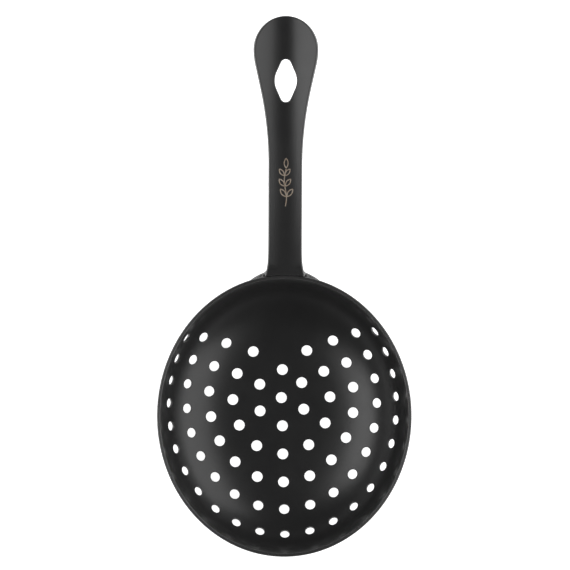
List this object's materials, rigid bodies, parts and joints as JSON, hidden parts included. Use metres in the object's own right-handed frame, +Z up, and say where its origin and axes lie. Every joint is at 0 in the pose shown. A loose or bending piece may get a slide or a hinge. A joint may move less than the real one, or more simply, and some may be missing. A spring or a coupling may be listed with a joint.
{
  "type": "julep strainer",
  "caption": "Bar strainer with an oval perforated bowl and a flat strip handle welded to the bowl's wall, with a diamond hanging hole.",
  "frame": {"origin": "centre of the small flat on the underside of the bowl, at the bottom of the strainer", "axes": "+Z is up, the way the bowl opens; +Y runs from the bowl to the end of the handle; +X is across the bowl"},
  "size_m": [0.075, 0.1592, 0.0295],
  "materials": {
    "black_coating": "satin black coating on steel sheet",
    "etched_mark": "fine bronze-coloured etched lines"
  },
  "bodies": {
    "root": {"perforated_bowl": "black_coating", "handle": "black_coating", "weld_left": "black_coating", "weld_right": "black_coating"}
  },
  "joints": []
}
